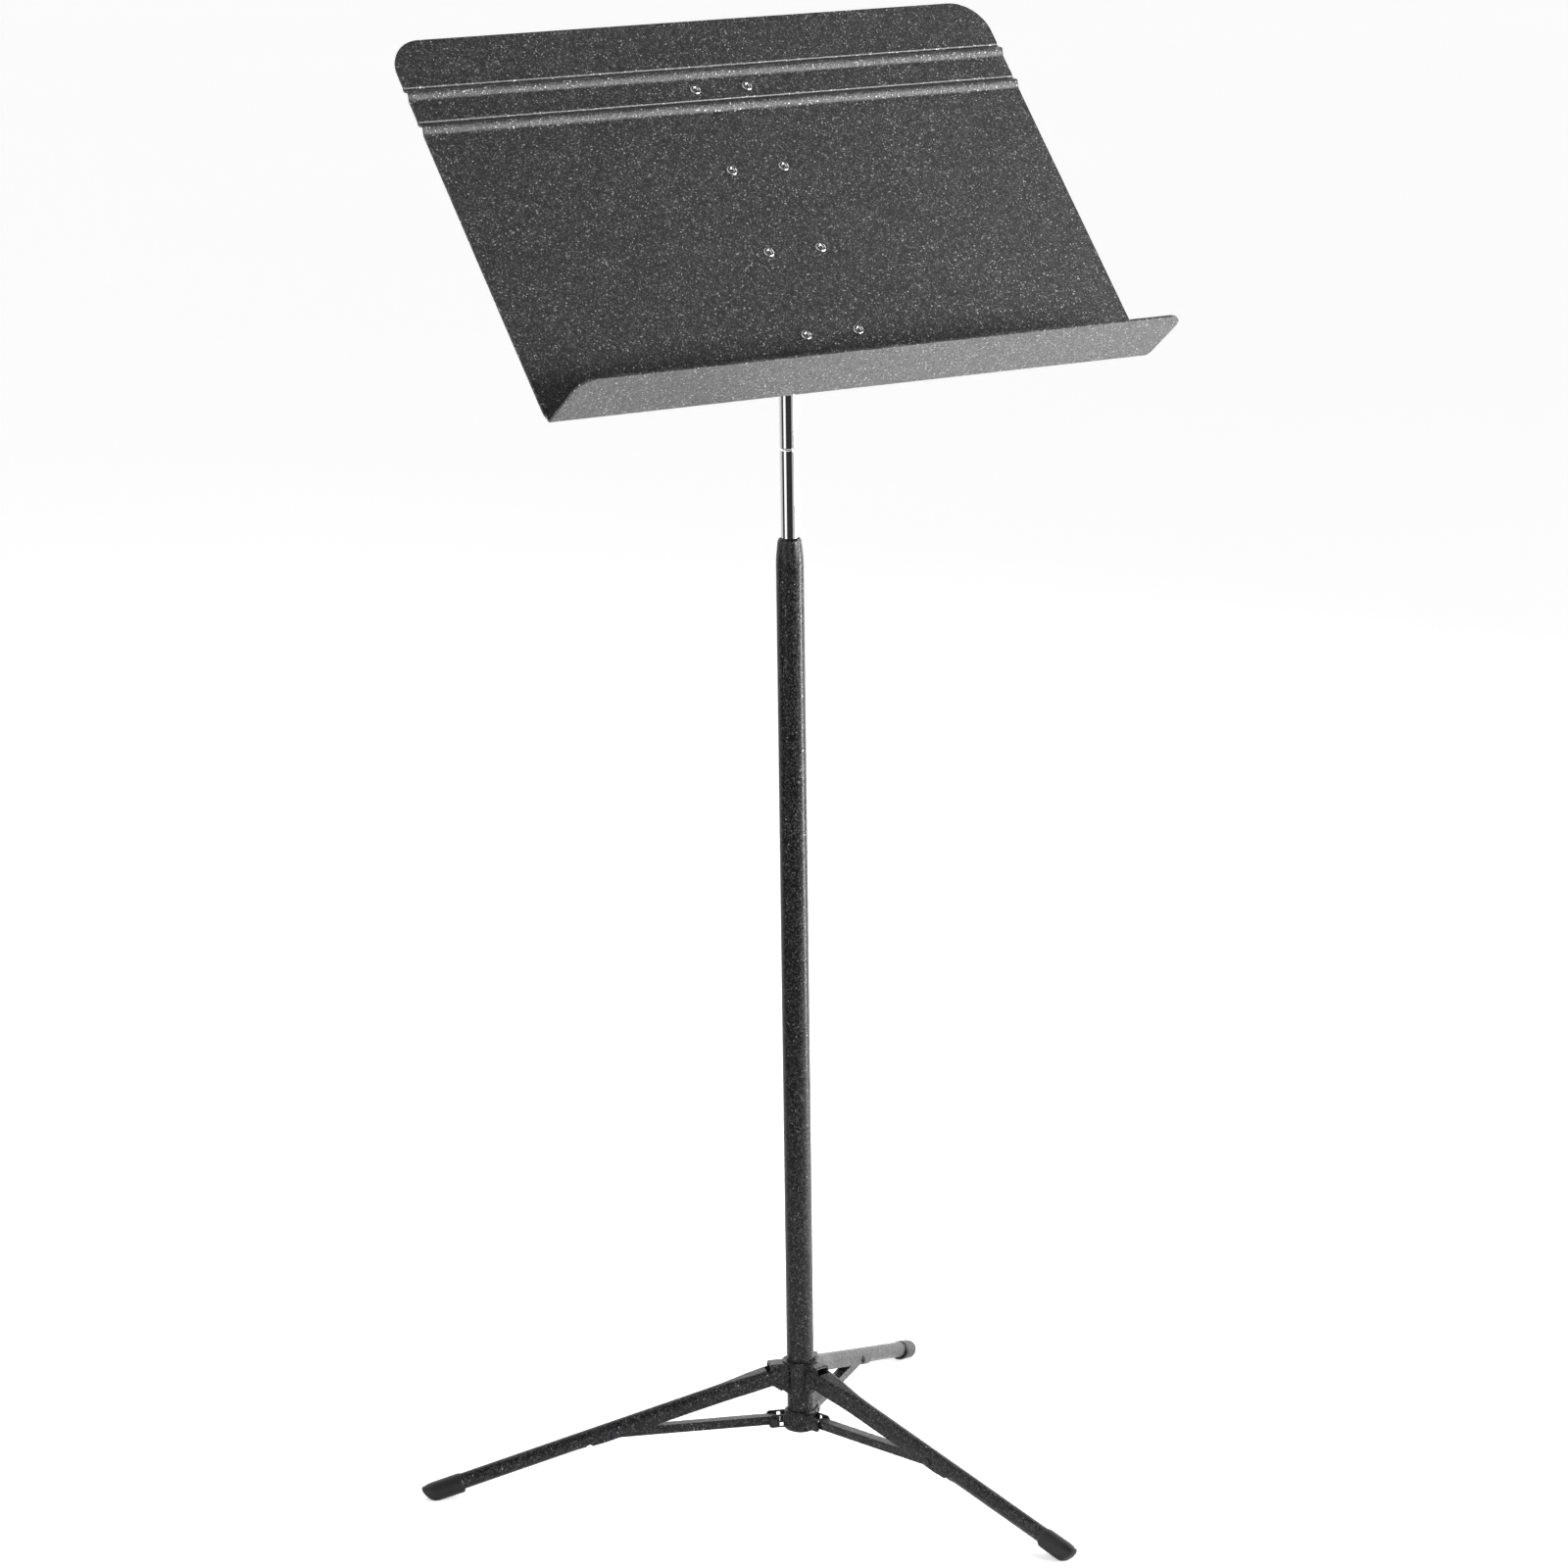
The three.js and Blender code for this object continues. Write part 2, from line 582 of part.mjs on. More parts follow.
const stand = new THREE.Group();
stand.add(
  mesh("outer_tube", outerTube(), finishes.frame),
  mesh("mouth_bush", mouthBush(), finishes.nylon),
  mesh("tube_end_plug", tubeEndPlug(), finishes.nylon),
  mesh("lower_hub", lowerHubGeometry(), finishes.frame),
  mesh("upper_hub", upperHubGeometry(), finishes.frame),
  mesh("guide_bush", guideBush(), finishes.nylon),
  mesh("bush_retainer", bushRetainer(), finishes.zinc),
  mesh("inner_tube", innerTube(), finishes.chrome),
  mesh("inner_tube_plug", innerTubePlug(), finishes.nylon),
  mesh("neck_tube", neckTube(), finishes.chrome),
  mesh("neck_spigot", neckSpigot(), finishes.zinc),
  mesh("tilt_block", tiltBlockGeometry(), finishes.frame),
  deskGroup(),
);
leg.azimuths.forEach((azimuth, i) => stand.add(tripodLeg(i + 1, azimuth)));

export default stand;
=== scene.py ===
"""Looks of an orchestral music stand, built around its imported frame.

Shapes are made in millimetres and scaled to metres. +Z is up and the desk faces -Y.
"""

import json
import math

import bmesh
import bpy
from mathutils import Matrix, Vector

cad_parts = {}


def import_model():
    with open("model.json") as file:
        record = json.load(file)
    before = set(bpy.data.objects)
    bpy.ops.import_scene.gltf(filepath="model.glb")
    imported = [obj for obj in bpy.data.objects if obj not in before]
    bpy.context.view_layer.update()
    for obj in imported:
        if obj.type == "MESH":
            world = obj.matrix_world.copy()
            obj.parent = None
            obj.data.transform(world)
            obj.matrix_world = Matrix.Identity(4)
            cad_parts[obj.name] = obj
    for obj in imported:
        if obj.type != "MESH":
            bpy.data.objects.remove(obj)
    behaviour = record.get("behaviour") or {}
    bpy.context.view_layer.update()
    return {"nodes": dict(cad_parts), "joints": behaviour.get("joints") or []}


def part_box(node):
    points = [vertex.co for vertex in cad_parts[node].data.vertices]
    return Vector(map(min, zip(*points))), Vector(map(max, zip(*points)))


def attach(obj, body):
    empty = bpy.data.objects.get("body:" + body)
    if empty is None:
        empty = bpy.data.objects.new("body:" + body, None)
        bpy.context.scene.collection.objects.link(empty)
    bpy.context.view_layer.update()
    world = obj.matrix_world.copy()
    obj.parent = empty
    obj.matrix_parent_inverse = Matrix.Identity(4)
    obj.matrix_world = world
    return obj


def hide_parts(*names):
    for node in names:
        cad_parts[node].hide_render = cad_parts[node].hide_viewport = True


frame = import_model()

MM = 0.001
joints = {joint["name"]: joint for joint in frame["joints"]}

# ------------------------------------------------------------------ sizes, in millimetres

DESK_W, DESK_H, SHEET, LEAN = 508, 317, 1.6, math.radians(40.4)
BEND_Y, BEND_Z = -87, 818
TOP_R, LEDGE_D, LEDGE_R, LEDGE_DROP, BEND_R = 27, 57, 14, math.radians(3.2), 3
RIB_CENTRES = (243, 272)
RIB_SHAPE = ((-7, 0), (-6, 0), (-4.9, 0.35), (-2.6, 1.7), (-0.9, 2.55), (0.2, 2.8), (1.1, 2.45), (2.4, 1.2),
             (3.7, -0.2), (4.5, -0.68), (5.2, -0.62), (5.9, -0.1), (6.4, 0), (7, 0))
RIVET_X, RIVET_V, RIVET_PITCH = 22.1, 46, 70.6
MOUTH_SHAPE = ((0, 20), (0.06, 16), (0.35, 12), (0.75, 8), (1.1, 4.5), (1.45, 2), (1.8, 0.8), (2.3, 0.1),
               (2.7, 0))  # how far the pole's mouth is drawn in, at each depth below its end
SPINE_FACE, SPINE_IN, SPINE_WALL, SPINE_DEPTH, SPINE_FLANGE = 2.6, 13.6, 1.4, 20, 30
SPINE_V, SPINE_HOLES = (22, 284), (60, 152, 222)
EAR_R, EAR_SPREAD = 11, 24
TUBE_R, TUBE_WALL, TUBE_Z = 10, 1.2, (33, 699)
INNER_R, INNER_WALL, INNER_Z, JOINT_Z, NECK_TOP = 6, 1.1, 250, 763.5, 857.5
LEG_SLOPE, LEG_R, LEG_WALL, LEG_ROOT, LEG_LIFT = math.radians(15), 5.9, 1.3, 7.8, 1.9
CHANNEL_END, LEG_END = 148, 252
CAP_START, CAP_END, CAP_R, CAP_SAG = 240, 272.3, 7.6, 0.6
CAP_FLAT, CAP_SLANT, CAP_CUT = 0.94, 13, 0.42
STRUT_HALF, STRUT_TALL, STRUT_WALL = 4.2, 6.5, 1.2
HUB_BORE, PIN_HOLE, TILT_HOLE = 10.3, 1.7, 3.3
UPPER_Z, UPPER_LIP = (60, 84.4), 13.4
ARM_HALF, ARM_WALL, ARM_END, ARM_TOP, ARM_FOOT = 6, 1.3, 24, 83.4, (20.5, 67.2)
LOWER_Z, WINDOW_R, WINDOW_Z = (31, 46.2), (14.6, 17.4), (35.6, 43.2)
EAR_GAP, EAR_WALL, EAR_END, EAR_Z = 4.9, 1.4, 25.3, (34.6, 44.4)
GAP = 0.3


# ------------------------------------------------------------------ mesh helpers


def make(name, verts, faces, place=Matrix()):
    """A mesh object from points in millimetres, put in place by a matrix in millimetres."""
    mesh = bpy.data.meshes.new(name)
    mesh.from_pydata([place @ Vector(v) * MM for v in verts], [], faces)
    mesh.update()
    obj = bpy.data.objects.new(name, mesh)
    bpy.context.scene.collection.objects.link(obj)
    return obj


def lathe(name, profile, sides=64, place=Matrix()):
    """Turns (radius, z) points about Z. The profile closes on itself or ends on the axis."""
    verts, rows = [], []
    for r, z in profile:
        if r == 0:
            rows.append([len(verts)] * sides)
            verts.append((0, 0, z))
            continue
        rows.append(list(range(len(verts), len(verts) + sides)))
        for i in range(sides):
            a = 2 * math.pi * i / sides
            verts.append((r * math.cos(a), r * math.sin(a), z))
    if profile[0][0] != 0:
        rows.append(rows[0])
    faces = []
    for low, high in zip(rows, rows[1:]):
        for i in range(sides):
            j = (i + 1) % sides
            face = []
            for v in (low[i], low[j], high[j], high[i]):
                if v not in face:
                    face.append(v)
            if len(face) > 2:
                faces.append(face)
    return make(name, verts, faces, place)


def loft(name, loops, place=Matrix()):
    """A closed body through loops of points that each have the same number of points."""
    n = len(loops[0])
    verts = [p for loop in loops for p in loop]
    faces = [list(range(n))[::-1], [len(verts) - n + i for i in range(n)]]
    for k in range(len(loops) - 1):
        for i in range(n):
            j = (i + 1) % n
            faces.append([k * n + i, k * n + j, (k + 1) * n + j, (k + 1) * n + i])
    return make(name, verts, faces, place)


def slab(name, outline, low, high, axis="Y", place=Matrix()):
    """An outline given thickness along one axis: (x, z) points along Y, (y, z) along X, (x, y) along Z."""
    put = {
        "X": lambda a, b, t: (t, a, b),
        "Y": lambda a, b, t: (a, t, b),
        "Z": lambda a, b, t: (a, b, t),
    }[axis]
    return loft(name, [[put(a, b, t) for a, b in outline] for t in (low, high)], place)


def box(name, x, y, z, place=Matrix()):
    """A box, from a (low, high) pair on each axis."""
    return slab(name, [(x[0], y[0]), (x[1], y[0]), (x[1], y[1]), (x[0], y[1])], z[0], z[1], "Z", place)


def rod(name, radius, low, high, axis, place=Matrix(), sides=40):
    """A round bar from low to high along one axis."""
    turn = {
        "X": Matrix.Rotation(math.pi / 2, 4, "Y"),
        "Y": Matrix.Rotation(-math.pi / 2, 4, "X"),
        "Z": Matrix(),
    }[axis]
    return lathe(name, [(0, low), (radius, low), (radius, high), (0, high)], sides, place @ turn)


def pin_hole(place=Matrix()):
    """What cuts a pin's hole, along Y."""
    return rod("hole", PIN_HOLE, -12, 12, "Y", place)


def arc(cx, cy, radius, start, end, steps):
    """Points on an arc, angles in degrees."""
    points = []
    for i in range(steps + 1):
        a = math.radians(start + (end - start) * i / steps)
        points.append((cx + radius * math.cos(a), cy + radius * math.sin(a)))
    return points


def bake(obj):
    """Applies an object's modifiers."""
    graph = bpy.context.evaluated_depsgraph_get()
    mesh = bpy.data.meshes.new_from_object(obj.evaluated_get(graph))
    old = obj.data
    obj.modifiers.clear()
    obj.data = mesh
    bpy.data.meshes.remove(old)
    return obj


def outward(obj):
    """Makes every face of a closed mesh point out."""
    work = bmesh.new()
    work.from_mesh(obj.data)
    bmesh.ops.remove_doubles(work, verts=work.verts, dist=1e-7)
    bmesh.ops.recalc_face_normals(work, faces=work.faces)
    work.to_mesh(obj.data)
    work.free()
    return obj


def combine(obj, others, operation="DIFFERENCE"):
    """Joins to, or cuts from, an object each of the other objects, which are used up."""
    outward(obj)
    for other in others:
        outward(other)
        step = obj.modifiers.new("combine", "BOOLEAN")
        step.object, step.operation, step.solver = other, operation, "EXACT"
        bake(obj)
        bpy.data.objects.remove(other)
    return obj


def polish(obj, width=0.3, segments=2, angle=32):
    """Rounds the hard edges over and smooths the shading."""
    outward(obj)
    if width:
        bevel = obj.modifiers.new("edges", "BEVEL")
        bevel.width, bevel.segments, bevel.limit_method = width * MM, segments, "ANGLE"
        bevel.angle_limit = math.radians(angle)
        bevel.miter_outer = "MITER_ARC"
        bake(obj)
    obj.data.shade_smooth()
    obj.data.set_sharp_from_angle(angle=math.radians(50))
    weight = obj.modifiers.new("shade", "WEIGHTED_NORMAL")
    weight.keep_sharp = True
    return bake(obj)


def placed(pattern, name, place):
    """A copy of a finished object, moved by a matrix in millimetres."""
    mesh = pattern.data.copy()
    mesh.transform(Matrix.Translation(place.translation * MM) @ place.to_3x3().to_4x4())
    obj = bpy.data.objects.new(name, mesh)
    bpy.context.scene.collection.objects.link(obj)
    return obj


def dress(obj, material, body, slot, *nodes):
    """Gives a finished piece its material, its body and the CAD nodes that it stands for."""
    obj.data.materials.clear()
    obj.data.materials.append(material)
    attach(obj, body)
    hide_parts(*nodes)
    return obj


# ------------------------------------------------------------------ materials


class Nodes:
    """Short ways to add and link shader nodes in one material."""

    def __init__(self, name):
        self.material = bpy.data.materials.new(name)
        self.material.use_nodes = True
        self.tree = self.material.node_tree
        self.shader = self.tree.nodes["Principled BSDF"]
        self.coords = self.add("ShaderNodeTexCoord").outputs["Object"]

    def add(self, kind, links=None, **settings):
        node = self.tree.nodes.new(kind)
        for key, value in settings.items():
            setattr(node, key, value)
        for socket, value in (links or {}).items():
            if isinstance(value, bpy.types.NodeSocket):
                self.tree.links.new(value, node.inputs[socket])
            else:
                node.inputs[socket].default_value = value
        return node

    def noise(self, scale, detail=3, roughness=0.5, stretch=None):
        vector = self.coords
        if stretch:
            vector = self.add("ShaderNodeMapping", {"Vector": vector, "Scale": stretch}).outputs[0]
        links = {"Vector": vector, "Scale": scale, "Detail": detail, "Roughness": roughness}
        return self.add("ShaderNodeTexNoise", links).outputs["Fac"]

    def cells(self, scale, randomness=1.0):
        links = {"Vector": self.coords, "Scale": scale, "Randomness": randomness}
        return self.add("ShaderNodeTexVoronoi", links)

    def math(self, operation, a, b=0.0):
        return self.add("ShaderNodeMath", {0: a, 1: b}, operation=operation).outputs[0]

    def ramp(self, value, low, high, to_low=0.0, to_high=1.0):
        links = {"Value": value, "From Min": low, "From Max": high, "To Min": to_low, "To Max": to_high}
        return self.add("ShaderNodeMapRange", links).outputs[0]

    def mix(self, factor, a, b):
        node = self.add("ShaderNodeMix", data_type="RGBA")
        for socket, value in ((0, factor), (6, a), (7, b)):
            if isinstance(value, bpy.types.NodeSocket):
                self.tree.links.new(value, node.inputs[socket])
            else:
                node.inputs[socket].default_value = value
        return node.outputs[2]

    def bump(self, height, distance, strength=1.0, normal=None):
        links = {"Height": height, "Distance": distance, "Strength": strength}
        if normal:
            links["Normal"] = normal
        return self.add("ShaderNodeBump", links).outputs["Normal"]

    def set(self, **values):
        names = {"color": "Base Color", "metallic": "Metallic", "rough": "Roughness", "normal": "Normal",
                 "coat": "Coat Weight", "coat_rough": "Coat Roughness", "specular": "Specular IOR Level"}
        for key, value in values.items():
            socket = self.shader.inputs[names[key]]
            if isinstance(value, bpy.types.NodeSocket):
                self.tree.links.new(value, socket)
            else:
                socket.default_value = value
        return self.material


def grey(value, blue=0.0):
    return (value, value, value + blue, 1)


def powder_coat(name, base, fleck, share, gloss, coat, specular):
    """Black powder coat: a hammered skin with silver flecks of mixed size and brightness."""
    n = Nodes(name)
    cells = n.cells(760)
    chance = n.add("ShaderNodeSeparateColor", {0: cells.outputs["Color"]})
    picked = n.math("GREATER_THAN", chance.outputs[0], 1 - share)
    size = n.ramp(chance.outputs[1], 0, 1, 0.16, 0.46)
    spot = n.math("LESS_THAN", cells.outputs["Distance"], size)
    flake = n.math("MULTIPLY", picked, spot)
    shine = n.math("MULTIPLY", flake, n.ramp(chance.outputs[2], 0, 1, 0.12, 1))
    fine = n.add("ShaderNodeSeparateColor", {0: n.cells(1300).outputs["Color"]})
    grain = n.math("GREATER_THAN", fine.outputs[0], 0.72)
    dust = n.math("MULTIPLY", grain, n.ramp(fine.outputs[1], 0, 1, 0.03, 0.2))
    flecks = n.math("MAXIMUM", shine, dust)
    pits = n.math("LESS_THAN", n.noise(820, 2, 0.5), 0.4)
    veins = n.ramp(n.noise(430, 3, 0.6), 0.36, 0.66)
    ground = n.mix(veins, grey(base * 0.6), grey(base * 1.5, base * 0.05))
    ground = n.mix(n.math("MULTIPLY", pits, 0.7), ground, grey(base * 0.25))
    ground = n.mix(n.ramp(n.noise(18, 2), 0.35, 0.7, 0, 0.3), ground, grey(base * 0.7))
    lumps = n.math("ADD", n.noise(520, 2), n.math("MULTIPLY", flecks, 0.4))
    return n.set(
        color=n.mix(flecks, ground, grey(fleck)),
        metallic=n.math("MULTIPLY", flecks, 0.5),
        rough=n.ramp(veins, 0, 1, gloss + 0.08, gloss - 0.05),
        specular=specular,
        coat=coat,
        coat_rough=0.28,
        normal=n.bump(lumps, 0.0003, 0.5),
    )


def chrome_plate(name):
    """Bright chrome with a slight haze and fine lines along the tube."""
    n = Nodes(name)
    haze = n.ramp(n.noise(60, 4, 0.6, (1, 1, 0.15)), 0.35, 0.75, 0.035, 0.11)
    lines = n.noise(900, 2, 0.5, (1, 1, 0.02))
    tint = n.mix(n.noise(14, 2), (0.8, 0.81, 0.83, 1), (0.9, 0.9, 0.91, 1))
    return n.set(color=tint, metallic=1.0, rough=haze, normal=n.bump(lines, 0.00002, 0.25))


def plated_steel(name, value, rough):
    """Plated steel, mottled in tone and in gloss."""
    n = Nodes(name)
    mottle = n.noise(260, 4, 0.65)
    tint = n.mix(mottle, grey(value * 0.8), grey(value * 1.1, 0.012))
    return n.set(
        color=tint,
        metallic=0.9,
        rough=n.ramp(mottle, 0.3, 0.7, rough - 0.08, rough + 0.12),
        normal=n.bump(n.noise(1400, 2), 0.00005, 0.4),
    )


def moulded(name, value, rough, grain):
    """Nylon or vinyl: dark, with a fine moulded grain and slightly uneven gloss."""
    n = Nodes(name)
    patches = n.noise(48, 3, 0.6)
    specks = n.ramp(n.noise(700, 2), 0.62, 0.78)
    tint = n.mix(patches, grey(value * 0.75), grey(value * 1.25))
    return n.set(
        color=n.mix(n.math("MULTIPLY", specks, 0.5), tint, grey(value * 3.2)),
        rough=n.ramp(patches, 0.3, 0.7, rough - 0.07, rough + 0.07),
        specular=0.25,
        normal=n.bump(n.noise(grain, 3), 0.00012, 0.5),
    )


desk_coat = powder_coat("desk_powder_coat", 0.02, 0.6, 0.22, 0.42, 0.1, 0.45)
frame_coat = powder_coat("frame_powder_coat", 0.006, 0.3, 0.06, 0.26, 0.0, 0.2)
rivet_coat = plated_steel("worn_rivet_steel", 0.42, 0.16)
chrome = chrome_plate("polished_chrome")
zinc = plated_steel("zinc_plate", 0.42, 0.34)
pin_steel = plated_steel("blackened_steel", 0.035, 0.36)
nylon = moulded("black_nylon", 0.02, 0.42, 500)
vinyl = moulded("black_vinyl", 0.009, 0.42, 380)


# ------------------------------------------------------------------ places from the frame


def point(joint):
    return [value / MM for value in joints[joint]["pos_m"]]


class Limb:
    """One leg's frame: its azimuth, and matrices for its leg and strut, in millimetres."""

    def __init__(self, number):
        self.number = number
        x, y, self.leg_z = point(f"leg_{number}_hinge")
        self.leg_r = math.hypot(x, y)
        sx, sy, self.strut_z = point(f"strut_{number}_hinge")
        self.strut_r = math.hypot(sx, sy)
        self.turn = Matrix.Rotation(math.atan2(y, x), 4, "Z")
        hinge = self.turn @ Matrix.Translation((self.leg_r, 0, self.leg_z))
        self.leg = hinge @ Matrix.Rotation(LEG_SLOPE, 4, "Y")
        pin_low, pin_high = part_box(f"strut_inner_pin_{number}")
        middle = (pin_low + pin_high) / 2 / MM
        self.strut_in = math.hypot(middle.x, middle.y)
        self.strut = self.turn @ Matrix.Translation((self.strut_in, 0, self.strut_z))
        drop, run = self.strut_z - self.leg_z, self.strut_r - self.leg_r
        cos, sin = math.cos(LEG_SLOPE), math.sin(LEG_SLOPE)
        self.hole = (run * cos - drop * sin, run * sin + drop * cos)


limbs = [Limb(number) for number in (1, 2, 3)]
tilt_z = point("desk_tilt")[2]
desk_place = Matrix.Translation((0, BEND_Y, BEND_Z)) @ Matrix.Rotation(-LEAN, 4, "X")
pivot_y = -BEND_Y * math.cos(LEAN) - (tilt_z - BEND_Z) * math.sin(LEAN)
pivot_v = -BEND_Y * math.sin(LEAN) + (tilt_z - BEND_Z) * math.cos(LEAN)


# ------------------------------------------------------------------ desk


def curve_through(points, steps):
    """A smooth line through (along, height) points, each stretch cut into steps."""
    line = []
    for i in range(len(points) - 1):
        p = [points[max(0, min(len(points) - 1, i + k))] for k in (-1, 0, 1, 2)]
        for j in range(steps):
            t = j / steps
            line.append(tuple(
                0.5 * (2 * b + (c - a) * t + (2 * a - 5 * b + 4 * c - d) * t * t
                       + (3 * b - a - 3 * c + d) * t ** 3)
                for a, b, c, d in zip(*p)
            ))
    return line + [points[-1]]


def sheet_line():
    """Front face of the bent sheet in side view, as (y, z, half width), from ledge edge to desk top."""
    cos, sin = math.cos(LEDGE_DROP), math.sin(LEDGE_DROP)
    edge = DESK_W / 2
    corner = []
    for i in range(10):
        angle = math.radians(10 * i)
        s = LEDGE_D - LEDGE_R + LEDGE_R * math.cos(angle)
        corner.append((s, edge - LEDGE_R + LEDGE_R * math.sin(angle)))
    straight = [(LEDGE_D - LEDGE_R - 4, edge), (24, edge), (9, edge), (5, edge - 0.3)]
    ledge = [(-s * cos, -s * sin, half) for s, half in corner + straight]
    reach = BEND_R * math.tan((math.pi / 2 - LEDGE_DROP) / 2)
    bend = [(-reach * cos, -reach * sin, edge - 1.2)]
    for i in range(1, 7):
        angle = -math.pi / 2 + LEDGE_DROP + (math.pi / 2 - LEDGE_DROP) * i / 6
        bend.append((-BEND_R + BEND_R * math.cos(angle), reach + BEND_R * math.sin(angle), edge - 1.4))
    desk = [(0, 6, edge - 0.3), (0, 10, edge)] + [(0, 10 + 22 * i, edge) for i in range(1, 11)]
    for centre in RIB_CENTRES:
        desk += [(-h, centre + v, edge) for v, h in curve_through(RIB_SHAPE, 4)]
    desk += [(0, 284, edge)]
    for i in range(15):
        angle = math.radians(90 * i / 14)
        v = DESK_H - TOP_R + TOP_R * math.sin(angle)
        desk.append((0, v, edge - TOP_R + TOP_R * math.cos(angle)))
    return ledge + bend + desk


def desk_sheet():
    """One bent sheet with two pressed ribs; rows follow the side view and columns run across."""
    line = sheet_line()
    spread = (-1, -0.998, -0.99, -0.96, -0.85, -0.6, -0.3, 0, 0.3, 0.6, 0.85, 0.96, 0.99, 0.998, 1)
    fronts, backs = [], []
    for k, (y, z, half) in enumerate(line):
        before, after = line[max(0, k - 1)], line[min(len(line) - 1, k + 1)]
        dy, dz = after[0] - before[0], after[1] - before[1]
        size = math.hypot(dy, dz)
        normal = (dz / size, -dy / size)
        fronts.append([(half * t, y, z) for t in spread])
        backs.append([(half * t, y + normal[0] * SHEET, z + normal[1] * SHEET) for t in spread])
    rows, columns = len(line), len(spread)
    verts = [p for row in fronts + backs for p in row]

    def front(r, c):
        return r * columns + c

    def back(r, c):
        return (rows + r) * columns + c

    faces = []
    for r in range(rows - 1):
        for c in range(columns - 1):
            faces.append((front(r, c), front(r, c + 1), front(r + 1, c + 1), front(r + 1, c)))
            faces.append((back(r, c), back(r + 1, c), back(r + 1, c + 1), back(r, c + 1)))
        for c in (0, columns - 1):
            faces.append((front(r, c), front(r + 1, c), back(r + 1, c), back(r, c)))
    for c in range(columns - 1):
        for r in (0, rows - 1):
            faces.append((front(r, c), front(r, c + 1), back(r, c + 1), back(r, c)))
    sheet = make("desk_sheet", verts, faces, desk_place)
    return dress(polish(sheet, 0.35, 2, 50), desk_coat, "desk", "desk_coat", "desk_panel")


def rivets():
    """Eight rivets through the sheet and the spine, each with a low domed head, dished in the middle."""
    back = -(SPINE_FACE + SPINE_WALL)
    tail = [(0, back - 1.5), (1.6, back - 1.5), (3, back - 1.0), (3.4, back - 0.3), (3.4, back), (1.8, back)]
    dome = [(1.8, 0.05), (4.1, 0.05), (4.15, 0.3), (3.9, 0.75), (3.2, 1.2), (2.5, 1.42), (2.0, 1.35)]
    dish = [(1.55, 0.95), (1.2, 0.55), (0.7, 0.4), (0, 0.36)]
    number = 0
    for row in range(4):
        for x in (-RIVET_X, RIVET_X):
            number += 1
            spot = desk_place @ Matrix.Translation((x, 0, RIVET_V + row * RIVET_PITCH))
            lay = spot @ Matrix.Rotation(math.pi / 2, 4, "X")
            head = lathe(f"rivet_{number}", tail + dome + dish, 32, lay)
            dress(polish(head, 0.08, 1), rivet_coat, "desk", "rivet_coat", f"desk_rivet_{number}")


def spine():
    """Hat channel behind the sheet, with two ears for the tilt bolt."""
    low, outer = SPINE_FACE, SPINE_IN + SPINE_WALL
    step = low + SPINE_WALL
    right = [(SPINE_FLANGE, low), (SPINE_FLANGE, step), (outer, step), (outer, SPINE_DEPTH)]
    left = [(-x, y) for x, y in reversed(right)]
    hollow = [(-SPINE_IN, low), (-SPINE_IN, SPINE_DEPTH - SPINE_WALL),
              (SPINE_IN, SPINE_DEPTH - SPINE_WALL), (SPINE_IN, low)]
    body = slab("spine", right + left + hollow, *SPINE_V, "Z", desk_place)
    ear = [(SPINE_DEPTH - 3, pivot_v - EAR_SPREAD)] + arc(pivot_y, pivot_v, EAR_R, -73, 73, 20)
    ear.append((SPINE_DEPTH - 3, pivot_v + EAR_SPREAD))
    ears = [slab("ear", ear, x, x + SPINE_WALL, "X", desk_place) for x in (SPINE_IN, -outer)]
    combine(body, ears, "UNION")
    across = desk_place @ Matrix.Translation((0, pivot_y, pivot_v))
    holes = [rod("hole", TILT_HOLE, -20, 20, "X", across)]
    for v in SPINE_HOLES:
        at = desk_place @ Matrix.Translation((0, 0, v))
        holes.append(rod("hole", 4.5, SPINE_DEPTH - 4, SPINE_DEPTH + 4, "Y", at))
    combine(body, holes)
    dress(polish(body, 0.5, 3), desk_coat, "desk", "desk_coat", "desk_spine")


def tilt_hardware():
    """The tilt bolt, its nut, and the friction washers between the ears and the block."""
    at = desk_place @ Matrix.Translation((0, pivot_y, pivot_v))
    reach = SPINE_IN + SPINE_WALL + GAP
    left, right = at @ Matrix.Rotation(-math.pi / 2, 4, "Y"), at @ Matrix.Rotation(math.pi / 2, 4, "Y")
    shank = [(0, -reach - 8.6), (2.4, -reach - 8.6), (3, -reach - 8), (3, reach)]
    head = [(6.4, reach), (6.4, reach + 2.6), (5.9, reach + 3.6), (4.6, reach + 4.3), (0, reach + 4.5)]
    bolt = lathe("pivot_bolt", shank + head, 48, left)
    key = [(0, reach + 1.6), (2.7, reach + 1.6), (2.7, reach + 6), (0, reach + 6)]
    combine(bolt, [lathe("socket", key, 6, left)])
    dress(polish(bolt, 0.15), zinc, "desk", "zinc", "tilt_bolt")
    flank = [(3.05, reach), (6.7, reach), (6.75, reach + 0.5), (6.75, reach + 4.2), (6, reach + 4.6)]
    crown = [(4.9, reach + 4.8), (4.7, reach + 5.6), (3.05, reach + 5.6)]
    nut = lathe("pivot_nut", flank + crown, 48, right)
    hexagon = slab("hex", arc(0, 0, 6.8, 0, 300, 5), reach - 1, reach + 7, "Z", right)
    combine(nut, [hexagon], "INTERSECT")
    dress(polish(nut, 0.15), zinc, "desk", "zinc", "tilt_nut")
    ring = [(TILT_HOLE, 11.8), (8.7, 11.8), (9, 12.1), (9, 13), (8.7, 13.3), (TILT_HOLE, 13.3)]
    for side, place in (("left", left), ("right", right)):
        disc = lathe(f"washer_{side}", ring, 48, place)
        dress(polish(disc, 0.1), nylon, "desk", "nylon", f"friction_washer_{side}")


